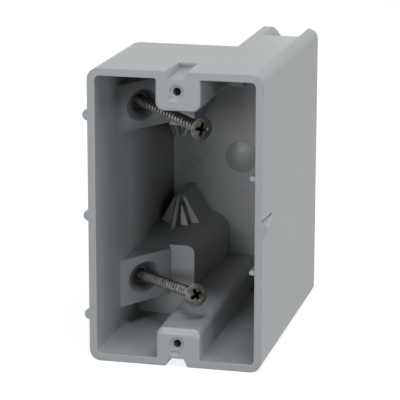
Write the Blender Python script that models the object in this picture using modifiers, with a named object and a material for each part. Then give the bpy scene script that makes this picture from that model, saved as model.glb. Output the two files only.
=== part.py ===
"""One-gang device box with two angled mounting screws.

Metres, +Z up. The open face looks towards -Y, the stud side is -X. The origin is the middle of the
footprint, on the surface that the box stands on. Places are first worked out from the lower front corner
of the stud side and then moved to that origin.
"""
import math

import bmesh
import bpy
from mathutils import Matrix, Vector

MM = 0.001

# Outer moulding
WIDTH = 57.5 * MM
HEIGHT = 97.5 * MM
DEPTH = 94.5 * MM
WALL = 2.4 * MM
BACK_WALL = 2.4 * MM
CORNER_RADIUS = 3.7 * MM
BACK_EDGE_RADIUS = 3.0 * MM
INNER_RADIUS = 1.6 * MM
INNER_DRAFT_STUD = 2.3 * MM
INNER_DRAFT_SIDE = 1.6 * MM
INNER_DRAFT_END = 0.9 * MM

# Device screw posts and the rails behind them
POST_OFFSET = 6.35 * MM
POST_WIDTH = 14.8 * MM
POST_LEFT = WIDTH / 2 - POST_OFFSET
POST_RIGHT = POST_LEFT + POST_WIDTH
POST_HEIGHT = 12.8 * MM
POST_CORNER = 2.6 * MM
DEVICE_HOLE_INSET = 7.08 * MM
DEVICE_SPACING = HEIGHT - 2 * DEVICE_HOLE_INSET
DEVICE_HOLE_OFFSET = 7.1 * MM
DEVICE_HOLE_X = POST_LEFT + DEVICE_HOLE_OFFSET
DEVICE_HOLE_SHIFT = 0.6 * MM
DEVICE_HOLE = 2.7 * MM
DEVICE_HOLE_DEPTH = 17.0 * MM
DEVICE_SINK = 4.6 * MM
DEVICE_SINK_DEPTH = 0.5 * MM
POST_CORE_BEHIND = 4.0 * MM
POST_CORE_START = DEVICE_HOLE_DEPTH + POST_CORE_BEHIND
POST_CORE_GAP = 0.4 * MM

# Relief notch in the rim over each post
NOTCH_OFFSET = 6.9 * MM
NOTCH_X = POST_LEFT + NOTCH_OFFSET
NOTCH_WIDTH = 7.4 * MM
NOTCH_FLOOR = 4.9 * MM
NOTCH_DEPTH_FRONT = 2.7 * MM
NOTCH_DEPTH_BACK = 1.7 * MM
NOTCH_LENGTH = 16.0 * MM

# Stepped cable entry: a shallow step across, and a deeper chamber next to the stud
STEP_LENGTH = 45.1 * MM
STEP_START = DEPTH - STEP_LENGTH
STEP_DEPTH = 10.8 * MM
STEP_GAP_UPPER = 19.4 * MM
STEP_GAP_LOWER = 22.7 * MM
STEP_RIGHT_UPPER = WIDTH - STEP_GAP_UPPER
STEP_RIGHT_LOWER = WIDTH - STEP_GAP_LOWER
CHAMBER_TOP = 27.6 * MM
CHAMBER_BACK_TOP = 28.7 * MM
WEB_RIGHT = 23.7 * MM
WEB_CORNER = 2.7 * MM
WEB_LEFT = 14.9 * MM
WEB_SLOPE = 12.0 * MM
WEB_SLOPE_BITE = 0.45 * MM
WEB_SLOPE_CLEAR = 0.25 * MM
LOWER_BACK_RIGHT = 25.9 * MM
LOWER_BACK_CORNER = 7.0 * MM
UPPER_NOSE_LENGTH = 7.0 * MM
UPPER_RIGHT = 20.4 * MM
UPPER_CORNER = 2.2 * MM

# Cable clamp: a gabled hood with spring fingers in front of it
HOOD_LENGTH = 17.6 * MM
HOOD_START = DEPTH - HOOD_LENGTH
HOOD_SUNK = 0.1 * MM
HOOD_RISE = 10.3 * MM
HOOD_BASE_HEIGHT = CHAMBER_TOP - HOOD_SUNK
HOOD_TOP = CHAMBER_TOP + HOOD_RISE
HOOD_BACK_RISE = 1.0 * MM
HOOD_BACK_SHIFT = 0.2 * MM
HOOD_PEAK_LEFT = 10.1 * MM
HOOD_PEAK_RIGHT = 13.0 * MM
HOOD_BASE_LEFT = 4.0 * MM
HOOD_BASE_RIGHT = 19.1 * MM
HOOD_RIDGE_RADIUS = 0.9 * MM
HOOD_WALL = 1.6 * MM
CLAMP_REACH = 10.9 * MM
FINGER_ROOT = 1.0 * MM
FINGER_THICKNESS = 1.5 * MM

# Each finger's base edge and tip edge, and its height. Places are shares of the hood's width across and of
# the clamp's reach in front of the hood, heights are shares of the hood's rise.
FINGERS = {
    "a": (((-0.0265, 0.046), (0.305, -0.550)), ((0.351, -0.183), (0.404, -0.239)), 0.952),
    "b": (((0.411, -1.0), (0.517, -1.0)), ((0.444, -0.303), (0.510, -0.303)), 0.971),
    "c": (((0.563, -0.495), (0.755, -0.486)), ((0.550, -0.376), (0.583, -0.376)), 0.711),
    "d": (((0.788, -0.147), (0.993, -0.138)), ((0.563, -0.147), (0.616, -0.147)), 0.971),
}
CLAMP_OPENING = ((0.132, 0.183), (0.172, -0.037), (0.397, -0.505), (0.517, -0.505), (0.543, -0.303),
                 (0.742, 0.037), (0.854, 0.037), (0.854, 0.183))

# Angled screw bosses on the stud wall
BOSS_LENGTH_UPPER = 23.7 * MM
BOSS_LENGTH_LOWER = 21.3 * MM
BOSS_END_X = 15.3 * MM
BOSS_END_GAP = 3.2 * MM
BOSS_END_Y = STEP_START - BOSS_END_GAP
BOSS_START_UPPER = BOSS_END_Y - BOSS_LENGTH_UPPER
BOSS_START_LOWER = BOSS_END_Y - BOSS_LENGTH_LOWER
BOSS_DROP = 1.1 * MM
BOSS_THICKNESS = 16.2 * MM
BOSS_HIGH = CHAMBER_TOP - BOSS_DROP
BOSS_LOW = BOSS_HIGH - BOSS_THICKNESS
RECESS_LENGTH = 14.6 * MM
RECESS_HEIGHT = 10.8 * MM
RECESS_FLOOR = 5.6 * MM
RECESS_DEPTH = 6.0 * MM
RECESS_OFFSET_UPPER = 2.8 * MM
RECESS_OFFSET_LOWER = 1.7 * MM
RECESS_LIFT_LOWER = 0.35 * MM

# Mounting screws
SCREW_LENGTH = 50.5 * MM
SCREW_HEAD = 7.8 * MM
SCREW_HEAD_EDGE = 0.45 * MM
SCREW_HEAD_CONE = 2.5 * MM
SCREW_MAJOR = 3.9 * MM
SCREW_ROOT = 2.9 * MM
SCREW_PITCH = 2.8 * MM
SCREW_TIP = 4.5 * MM
SCREW_CLEARANCE = 0.3 * MM
SCREW_NECK = 0.25 * MM
THREAD_INSET = 0.1 * MM
PILOT_HOLE = 2.8 * MM
PILOT_BEYOND = 12.0 * MM
CROSS_SPAN = 4.9 * MM
CROSS_WIDTH = 1.05 * MM
CROSS_DEPTH = 2.1 * MM

# Where each screw meets the face of its boss, its direction from there, and the length beyond that face
UPPER_ACROSS = 10.15 * MM
UPPER_AHEAD = 12.66 * MM
UPPER_DOWN = 18.49 * MM
UPPER_ENTRY = (UPPER_ACROSS, STEP_START - UPPER_AHEAD, HEIGHT - UPPER_DOWN)
UPPER_LEAN = (0.6876, -0.7244, -0.0489)
UPPER_SEATED = 14.09 * MM
LOWER_ACROSS = 9.83 * MM
LOWER_AHEAD = 12.23 * MM
LOWER_UP = 18.42 * MM
LOWER_ENTRY = (LOWER_ACROSS, STEP_START - LOWER_AHEAD, LOWER_UP)
LOWER_LEAN = (0.6532, -0.7516, 0.0924)
LOWER_SEATED = 13.97 * MM
SCREW_SETS = (("upper", UPPER_ENTRY, UPPER_LEAN, UPPER_SEATED),
              ("lower", LOWER_ENTRY, LOWER_LEAN, LOWER_SEATED))

# Pocket between the two ears at the back of the ends
POCKET_GAP = 3.4 * MM
POCKET_WIDTH = 13.0 * MM
POCKET_RIGHT = WIDTH - POCKET_GAP
POCKET_LEFT = POCKET_RIGHT - POCKET_WIDTH
POCKET_LENGTH = 21.0 * MM
POCKET_START = DEPTH - POCKET_LENGTH
POCKET_DEPTH = 6.4 * MM
POCKET_FLANK = 4.4 * MM

# Small locating ribs outside and pegs inside
NUB_PROUD = 1.6 * MM
NUB_RADIUS = 1.9 * MM
NUB_LENGTH = 14.0 * MM
NUB_FROM_BELOW = 15.7 * MM
NUB_LIFT = 0.25 * MM
NUB_FROM_ABOVE = 15.3 * MM
NUB_HEIGHTS = (NUB_FROM_BELOW, HEIGHT / 2 + NUB_LIFT, HEIGHT - NUB_FROM_ABOVE)
SIDE_NUB_DROP = 0.55 * MM
SIDE_NUB_HEIGHT = HEIGHT / 2 - SIDE_NUB_DROP
SIDE_NUB_RADIUS = 1.6 * MM
MARK_LIFT = 1.45 * MM
MARK_FALL = 0.7 * MM
MARK_HEIGHT = HEIGHT / 2 + MARK_LIFT
MARK_LENGTH = 14.0 * MM
MARK_WIDTH = 0.6 * MM
MARK_DEPTH = 0.4 * MM
PEG_SPREAD = 15.45 * MM
PEG_HEIGHTS = (HEIGHT / 2 - PEG_SPREAD, HEIGHT / 2 + PEG_SPREAD)
PEG_START = 0.4 * MM
PEG_RADIUS = 0.8 * MM
PEG_PROUD = 1.9 * MM
PEG_LENGTH = 7.0 * MM

# Gate dome and ejector marks on the back wall
DOME_OFFSET = 1.25 * MM
DOME_LIFT = 0.65 * MM
DOME_X = WIDTH / 2 + DOME_OFFSET
DOME_Z = HEIGHT / 2 + DOME_LIFT
DOME_RADIUS = 5.7 * MM
DOME_RISE = 1.0 * MM

# Ejector marks: place across, and height and radius as shares of the clear wall between the two hoods
EJECTOR_LEFT = 10.0 * MM
EJECTOR_RIGHT = 13.5 * MM
HOOD_CLEAR = HEIGHT - 2 * (HOOD_TOP + HOOD_BACK_RISE)
EJECTOR_MARKS = ((EJECTOR_LEFT, 0.274, 0.117), (EJECTOR_RIGHT, 0.624, 0.213))
EJECTOR_DEPTH = 0.2 * MM

# Overlap that every added piece of the moulding has with its neighbours
ROOT = 1.4 * MM
OVER = 2.0 * MM


def clear_scene():
    for item in list(bpy.data.objects):
        bpy.data.objects.remove(item, do_unlink=True)


def new_collection(name):
    made = bpy.data.collections.new(name)
    bpy.context.scene.collection.children.link(made)
    return made


def place(mesh_bm):
    """Moves a piece from the corner of the stud side to the middle of the footprint."""
    bmesh.ops.translate(mesh_bm, vec=(-WIDTH / 2, -DEPTH / 2, 0.0), verts=mesh_bm.verts)


def to_object(mesh_bm, name, collection):
    bmesh.ops.recalc_face_normals(mesh_bm, faces=mesh_bm.faces)
    mesh = bpy.data.meshes.new(name)
    mesh_bm.to_mesh(mesh)
    mesh_bm.free()
    made = bpy.data.objects.new(name, mesh)
    collection.objects.link(made)
    return made


def cuboid(low, high):
    made = bmesh.new()
    bmesh.ops.create_cube(made, size=1.0)
    size = Vector(high) - Vector(low)
    middle = (Vector(high) + Vector(low)) / 2
    bmesh.ops.scale(made, vec=size, verts=made.verts)
    bmesh.ops.translate(made, vec=middle, verts=made.verts)
    return made


def round_edges(made, edges, radius, segments):
    bmesh.ops.bevel(made, geom=edges, offset=radius, offset_type="OFFSET", segments=segments,
                    profile=0.5, affect="EDGES", clamp_overlap=False, material=-1)


def edges_along_y(made):
    return [e for e in made.edges if abs((e.verts[0].co - e.verts[1].co).normalized().y) > 0.9]


def edges_at_back(made):
    back = max(v.co.y for v in made.verts)
    return [e for e in made.edges if all(abs(v.co.y - back) < 1e-7 for v in e.verts)]


def rounded_outline(corners, steps=5):
    """Corners are (u, v, radius). A radius of zero keeps the corner sharp."""
    points = []
    count = len(corners)
    for i, (u, v, radius) in enumerate(corners):
        here = Vector((u, v))
        if radius <= 0.0:
            points.append(here)
            continue
        before = (Vector(corners[i - 1][:2]) - here).normalized()
        after = (Vector(corners[(i + 1) % count][:2]) - here).normalized()
        half = before.angle(after) / 2
        centre = here + (before + after).normalized() * (radius / math.sin(half))
        start = here + before * (radius / math.tan(half)) - centre
        end = here + after * (radius / math.tan(half)) - centre
        sweep = start.angle_signed(end)
        for k in range(steps + 1):
            turn = -sweep * k / steps
            cos, sin = math.cos(turn), math.sin(turn)
            points.append(centre + Vector((start.x * cos - start.y * sin, start.x * sin + start.y * cos)))
    return points


def flat_solid(points, axis, low, high):
    """A closed outline filled and extruded along X, Y or Z, as a bmesh."""
    curve = bpy.data.curves.new("outline", "CURVE")
    curve.dimensions = "2D"
    curve.fill_mode = "BOTH"
    curve.extrude = (high - low) / 2
    spline = curve.splines.new("POLY")
    spline.points.add(len(points) - 1)
    for target, point in zip(spline.points, points):
        target.co = (point[0], point[1], 0.0, 1.0)
    spline.use_cyclic_u = True
    holder = bpy.data.objects.new("outline", curve)
    bpy.context.scene.collection.objects.link(holder)
    graph = bpy.context.evaluated_depsgraph_get()
    graph.update()
    mesh = bpy.data.meshes.new_from_object(holder.evaluated_get(graph))
    made = bmesh.new()
    made.from_mesh(mesh)
    bpy.data.objects.remove(holder, do_unlink=True)
    bpy.data.meshes.remove(mesh)
    bmesh.ops.remove_doubles(made, verts=made.verts, dist=1e-6)
    bmesh.ops.dissolve_limit(made, angle_limit=math.radians(0.5), verts=made.verts, edges=made.edges)
    middle = (low + high) / 2
    frames = {
        "X": Matrix(((0, 0, 1, middle), (1, 0, 0, 0), (0, 1, 0, 0), (0, 0, 0, 1))),
        "Y": Matrix(((1, 0, 0, 0), (0, 0, -1, middle), (0, 1, 0, 0), (0, 0, 0, 1))),
        "Z": Matrix.Translation((0, 0, middle)),
    }
    bmesh.ops.transform(made, matrix=frames[axis], verts=made.verts)
    return made


def hull(points):
    made = bmesh.new()
    for point in points:
        made.verts.new(point)
    bmesh.ops.convex_hull(made, input=made.verts)
    bmesh.ops.dissolve_limit(made, angle_limit=math.radians(0.5), verts=made.verts, edges=made.edges)
    return made


def rod(start, end, radius, radius_end=None, segments=24):
    start, end = Vector(start), Vector(end)
    made = bmesh.new()
    bmesh.ops.create_cone(made, cap_ends=True, segments=segments, radius1=radius,
                          radius2=radius if radius_end is None else radius_end,
                          depth=(end - start).length)
    turn = Vector((0, 0, 1)).rotation_difference(end - start).to_matrix().to_4x4()
    bmesh.ops.transform(made, matrix=Matrix.Translation((start + end) / 2) @ turn, verts=made.verts)
    return made


def rod_ring(centre, axis, radius, segments=20):
    side = axis.cross(Vector((0, 0, 1))).normalized()
    up = side.cross(axis)
    return [centre + side * (radius * math.cos(2 * math.pi * k / segments))
            + up * (radius * math.sin(2 * math.pi * k / segments)) for k in range(segments)]


def upside_down(made):
    """The same piece mirrored to the other end of the box."""
    other = made.copy()
    bmesh.ops.scale(other, vec=(1, 1, -1), verts=other.verts)
    bmesh.ops.translate(other, vec=(0, 0, HEIGHT), verts=other.verts)
    return other


class Moulding:
    """Collects the tools of one moulded piece and applies them in order."""

    def __init__(self, target, tools):
        self.target = target
        self.tools = tools

    def use(self, made, name, operation):
        place(made)
        tool = to_object(made, name, self.tools)
        tool.hide_render = True
        tool.display_type = "WIRE"
        step = self.target.modifiers.new(name, "BOOLEAN")
        step.operation = operation
        step.solver = "EXACT"
        step.object = tool
        return tool

    def add(self, made, name):
        return self.use(made, name, "UNION")

    def cut(self, made, name):
        return self.use(made, name, "DIFFERENCE")

    def add_both(self, made, name):
        other = upside_down(made)
        self.use(made, name + "_lower", "UNION")
        self.use(other, name + "_upper", "UNION")

    def cut_both(self, made, name):
        other = upside_down(made)
        self.use(made, name + "_lower", "DIFFERENCE")
        self.use(other, name + "_upper", "DIFFERENCE")


def plastic():
    made = bpy.data.materials.new("grey_plastic")
    made.use_nodes = True
    shader = made.node_tree.nodes["Principled BSDF"]
    shader.inputs["Base Color"].default_value = (0.27, 0.30, 0.31, 1.0)
    shader.inputs["Roughness"].default_value = 0.5
    shader.inputs["Metallic"].default_value = 0.0
    return made


def steel():
    made = bpy.data.materials.new("dark_steel")
    made.use_nodes = True
    shader = made.node_tree.nodes["Principled BSDF"]
    shader.inputs["Base Color"].default_value = (0.09, 0.08, 0.07, 1.0)
    shader.inputs["Roughness"].default_value = 0.45
    shader.inputs["Metallic"].default_value = 0.8
    return made


def smooth_by_angle(item):
    """Shades rounded faces smooth and keeps every edge sharper than the limit crisp."""
    group = bpy.data.node_groups.get("smooth_by_angle")
    if group is None:
        group = bpy.data.node_groups.new("smooth_by_angle", "GeometryNodeTree")
        group.interface.new_socket("Geometry", in_out="INPUT", socket_type="NodeSocketGeometry")
        group.interface.new_socket("Geometry", in_out="OUTPUT", socket_type="NodeSocketGeometry")
        start = group.nodes.new("NodeGroupInput")
        end = group.nodes.new("NodeGroupOutput")
        smooth = group.nodes.new("GeometryNodeSetShadeSmooth")
        crisp = group.nodes.new("GeometryNodeSetShadeSmooth")
        crisp.domain = "EDGE"
        crisp.inputs["Shade Smooth"].default_value = False
        angle = group.nodes.new("GeometryNodeInputMeshEdgeAngle")
        limit = group.nodes.new("ShaderNodeMath")
        limit.operation = "GREATER_THAN"
        limit.inputs[1].default_value = math.radians(28.0)
        group.links.new(start.outputs[0], smooth.inputs["Geometry"])
        group.links.new(smooth.outputs[0], crisp.inputs["Geometry"])
        group.links.new(angle.outputs["Unsigned Angle"], limit.inputs[0])
        group.links.new(limit.outputs[0], crisp.inputs["Selection"])
        group.links.new(crisp.outputs[0], end.inputs[0])
    step = item.modifiers.new("smooth_by_angle", "NODES")
    step.node_group = group


def outer_block():
    made = cuboid((0, -OVER, 0), (WIDTH, DEPTH, HEIGHT))
    round_edges(made, edges_along_y(made), CORNER_RADIUS, 6)
    round_edges(made, edges_at_back(made), BACK_EDGE_RADIUS, 4)
    return made


def stud_inside(y):
    """Inner surface of the drafted wall on the stud side at depth y."""
    return WALL + INNER_DRAFT_STUD * (y + 2 * OVER) / (DEPTH - BACK_WALL + 2 * OVER)


def inner_space():
    back = DEPTH - BACK_WALL
    made = cuboid((WALL, -2 * OVER, WALL), (WIDTH - WALL, back, HEIGHT - WALL))
    for vert in made.verts:
        if vert.co.y > 0:
            vert.co.x += INNER_DRAFT_STUD if vert.co.x < WIDTH / 2 else -INNER_DRAFT_SIDE
            vert.co.z += INNER_DRAFT_END if vert.co.z < HEIGHT / 2 else -INNER_DRAFT_END
    round_edges(made, edges_along_y(made), INNER_RADIUS, 4)
    round_edges(made, edges_at_back(made), INNER_RADIUS * 0.6, 2)
    return made


def device_rail():
    corners = [(POST_LEFT, ROOT, 0), (POST_RIGHT, ROOT, 0),
               (POST_RIGHT, POST_HEIGHT, POST_CORNER), (POST_LEFT, POST_HEIGHT, POST_CORNER)]
    return flat_solid(rounded_outline(corners), "Y", -OVER, DEPTH - ROOT)


def chamber_points(y, left, right, top, corner, low):
    """One cross-section of a cable chamber, as points across the box at depth y."""
    corners = [(left, low, 0), (right, low, 0), (right, top, corner), (left, top, 0)]
    return [Vector((u, y, v)) for u, v in rounded_outline(corners, 6)]


def chamber_lower():
    """Loft between the squarer web at the front and the rounder section at the back wall."""
    front, back, left = STEP_START - WALL, DEPTH - ROOT, ROOT * 1.1
    return hull(chamber_points(front, left, WEB_RIGHT, CHAMBER_TOP, WEB_CORNER, ROOT)
                + chamber_points(back, left, LOWER_BACK_RIGHT, CHAMBER_BACK_TOP, LOWER_BACK_CORNER, ROOT))


def chamber_lower_hollow():
    front, back, left = STEP_START, DEPTH - BACK_WALL, WALL + INNER_DRAFT_STUD
    return hull(chamber_points(front, left, WEB_RIGHT - WALL, CHAMBER_TOP - WALL, WEB_CORNER / 2, -OVER)
                + chamber_points(back, left, LOWER_BACK_RIGHT - WALL, CHAMBER_BACK_TOP - WALL,
                                 LOWER_BACK_CORNER - WALL, -OVER))


def chamber_upper():
    """The chamber of the other end, which is narrower behind its web."""
    front, back, left = STEP_START - WALL / 2, DEPTH - ROOT, ROOT * 1.1
    return hull(chamber_points(front, left, UPPER_RIGHT, CHAMBER_TOP * 0.99, UPPER_CORNER, ROOT)
                + chamber_points(back, left, UPPER_RIGHT * 0.995, CHAMBER_BACK_TOP, UPPER_CORNER, ROOT))


def chamber_upper_nose():
    front = STEP_START - WALL
    return hull(chamber_points(front, ROOT, WEB_RIGHT, CHAMBER_TOP, WEB_CORNER, ROOT * 1.2)
                + chamber_points(front + UPPER_NOSE_LENGTH, ROOT, WEB_RIGHT, CHAMBER_TOP, WEB_CORNER,
                                 ROOT * 1.2))


def chamber_upper_hollow():
    front, back, left = STEP_START, DEPTH - BACK_WALL, WALL + INNER_DRAFT_STUD
    return hull(chamber_points(front, left, UPPER_RIGHT - WALL, CHAMBER_TOP - WALL, UPPER_CORNER / 2, -OVER)
                + chamber_points(back, left, UPPER_RIGHT - WALL, CHAMBER_BACK_TOP - WALL,
                                 UPPER_CORNER / 2, -OVER))


def chamber_upper_nose_hollow():
    left, right = WALL + INNER_DRAFT_STUD * 1.02, WEB_RIGHT - WALL
    back = STEP_START + UPPER_NOSE_LENGTH - 2 * WALL
    return cuboid((left, STEP_START * 1.002, -1.5 * OVER), (right, back, CHAMBER_TOP - WALL * 1.2))


def web_slope():
    """Bevel that lets the chamber's top fall away to the screw boss, left of the web."""
    front, back = STEP_START - 2 * WALL, STEP_START - WALL + WEB_SLOPE
    high = CHAMBER_TOP + OVER
    points = []
    for y, low in ((front, BOSS_HIGH - WEB_SLOPE_BITE), (back, CHAMBER_TOP + WEB_SLOPE_CLEAR)):
        for x in (stud_inside(y) * 1.007, WEB_LEFT):
            points += [(x, y, low), (x, y, high)]
    return hull(points)


def raised_at_back(made):
    """Lifts the ridge of a hood and moves its right slope towards the back of the box."""
    for vert in made.verts:
        along = (vert.co.y - HOOD_START) / (DEPTH - HOOD_START)
        if vert.co.z > (HOOD_TOP + HOOD_BASE_HEIGHT) / 2:
            vert.co.z += HOOD_BACK_RISE * along
        if vert.co.x > (HOOD_PEAK_LEFT + HOOD_PEAK_RIGHT) / 2:
            vert.co.x += HOOD_BACK_SHIFT * along
    return made


def hood_block():
    low = CHAMBER_TOP - 1.5 * ROOT
    corners = [(HOOD_BASE_LEFT, low, 0), (HOOD_BASE_RIGHT, low, 0), (HOOD_BASE_RIGHT, HOOD_BASE_HEIGHT, 0),
               (HOOD_PEAK_RIGHT, HOOD_TOP, HOOD_RIDGE_RADIUS), (HOOD_PEAK_LEFT, HOOD_TOP, HOOD_RIDGE_RADIUS),
               (HOOD_BASE_LEFT, HOOD_BASE_HEIGHT, 0)]
    made = flat_solid(rounded_outline(corners, 4), "Y", HOOD_START, DEPTH - ROOT)
    return raised_at_back(made)


def hood_hollow():
    side = HOOD_WALL * 1.25
    low = CHAMBER_TOP - 2 * WALL
    top = HOOD_TOP - HOOD_WALL
    corners = [(HOOD_BASE_LEFT + side, low, 0), (HOOD_BASE_RIGHT - side, low, 0),
               (HOOD_BASE_RIGHT - side, CHAMBER_TOP - ROOT, 0),
               (HOOD_PEAK_RIGHT - HOOD_WALL * 0.7, top, 0), (HOOD_PEAK_LEFT + HOOD_WALL * 0.7, top, 0),
               (HOOD_BASE_LEFT + side, CHAMBER_TOP - ROOT, 0)]
    made = flat_solid(rounded_outline(corners), "Y", HOOD_START - OVER, DEPTH - BACK_WALL)
    return raised_at_back(made)


def clamp_place(across, along):
    """Plan point of the cable clamp from its shares across the hood and in front of it."""
    width = HOOD_BASE_RIGHT - HOOD_BASE_LEFT
    return Vector((HOOD_BASE_LEFT + across * width, HOOD_START + along * CLAMP_REACH))


def clamp_opening():
    """Opening in the chamber's top under the fingers, in front of the hood."""
    outline = [clamp_place(across, along) for across, along in CLAMP_OPENING]
    return flat_solid(outline, "Z", CHAMBER_TOP - 2 * WALL, CHAMBER_TOP + ROOT)


def finger(base, tip, rise):
    """A tapered spring tongue, drawn on down into the chamber's top."""
    points = []
    height = HOOD_BASE_HEIGHT + rise * (HOOD_TOP - HOOD_BASE_HEIGHT)
    share = FINGER_ROOT / (height - HOOD_BASE_HEIGHT)
    for low, high in zip(base, tip):
        low, high = clamp_place(*low), clamp_place(*high)
        root = low + (low - high) * share
        for spot, level in ((root, HOOD_BASE_HEIGHT - FINGER_ROOT), (high, height)):
            points.append((spot.x, spot.y, level))
            points.append((spot.x, spot.y + FINGER_THICKNESS, level))
    return hull(points)


def screw_boss(start):
    outline = [(ROOT, start - OVER), (WALL, start), (BOSS_END_X, BOSS_END_Y),
               (BOSS_END_X, STEP_START - ROOT), (ROOT, STEP_START - ROOT)]
    return flat_solid([Vector(p) for p in outline], "Z", BOSS_LOW, BOSS_HIGH)


def screw_recess(entry, axis, boss_start, offset, lift):
    """Oval recess in the face of a boss, narrowing to a round floor that the screw passes through."""
    along = Vector((BOSS_END_X - WALL, BOSS_END_Y - boss_start, 0.0)).normalized()
    outward = Vector((along.y, -along.x, 0.0))
    middle = entry - along * offset + Vector((0, 0, lift))
    floor = entry - axis * RECESS_DEPTH
    points = []
    for k in range(28):
        turn = 2 * math.pi * k / 28
        oval = (middle + along * (math.cos(turn) * RECESS_LENGTH / 2)
                + Vector((0, 0, math.sin(turn) * RECESS_HEIGHT / 2)))
        points.append(oval)
        points.append(oval + outward * OVER)
    return hull(points + rod_ring(floor, axis, RECESS_FLOOR / 2, 28))


def relief_notch():
    """Wedge-shaped relief cut from outside, deepest at the open face."""
    slope = (NOTCH_DEPTH_FRONT - NOTCH_DEPTH_BACK) / NOTCH_LENGTH
    points = []
    for y in (-2 * OVER, NOTCH_LENGTH):
        depth = NOTCH_DEPTH_FRONT - slope * y
        grow = (NOTCH_WIDTH - NOTCH_FLOOR) / 2 / NOTCH_DEPTH_FRONT
        for height, half in ((depth, NOTCH_FLOOR / 2), (-OVER, NOTCH_FLOOR / 2 + grow * (depth + OVER))):
            points.append((NOTCH_X - half, y, height))
            points.append((NOTCH_X + half, y, height))
    return hull(points)


def end_pocket():
    """Ramped pocket between the ears, at the lower end of the box."""
    back = DEPTH + OVER
    slope = POCKET_DEPTH / (DEPTH - POCKET_START)
    deep = slope * (back - POCKET_START)
    side = OVER * POCKET_FLANK / POCKET_DEPTH
    inner = deep * POCKET_FLANK / POCKET_DEPTH
    front = POCKET_START - OVER / slope
    points = [(POCKET_LEFT - side, front, -OVER), (POCKET_RIGHT + side, front, -OVER),
              (POCKET_LEFT - side, back, -OVER), (POCKET_RIGHT + side, back, -OVER),
              (POCKET_LEFT + inner, back, deep), (POCKET_RIGHT - inner, back, deep)]
    return hull(points)


def pocket_skin():
    slope = POCKET_DEPTH / (DEPTH - POCKET_START)
    back = DEPTH - ROOT
    skin = WALL * 1.05
    outline = [(POCKET_START - OVER, ROOT), (POCKET_START - OVER, skin - slope * OVER),
               (back, skin + slope * (back - POCKET_START)), (back, ROOT)]
    return flat_solid([Vector(p) for p in outline], "X", POCKET_LEFT - WALL, WIDTH - ROOT)


def nub(x, height, radius, proud, side):
    centre = x + side * (proud - radius)
    front = radius * (1 + 0.75 * OVER / NUB_LENGTH)
    return rod((centre, -OVER, height), (centre, NUB_LENGTH, height), front, radius * 0.25, 20)


def side_mark():
    """Groove on the open side that falls with the rib next to it."""
    points = []
    for y in (-OVER, MARK_LENGTH):
        low = MARK_HEIGHT - MARK_FALL * y / MARK_LENGTH
        for height in (low, low + MARK_WIDTH):
            points += [(WIDTH - MARK_DEPTH, y, height), (WIDTH + OVER, y, height)]
    return hull(points)


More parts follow.
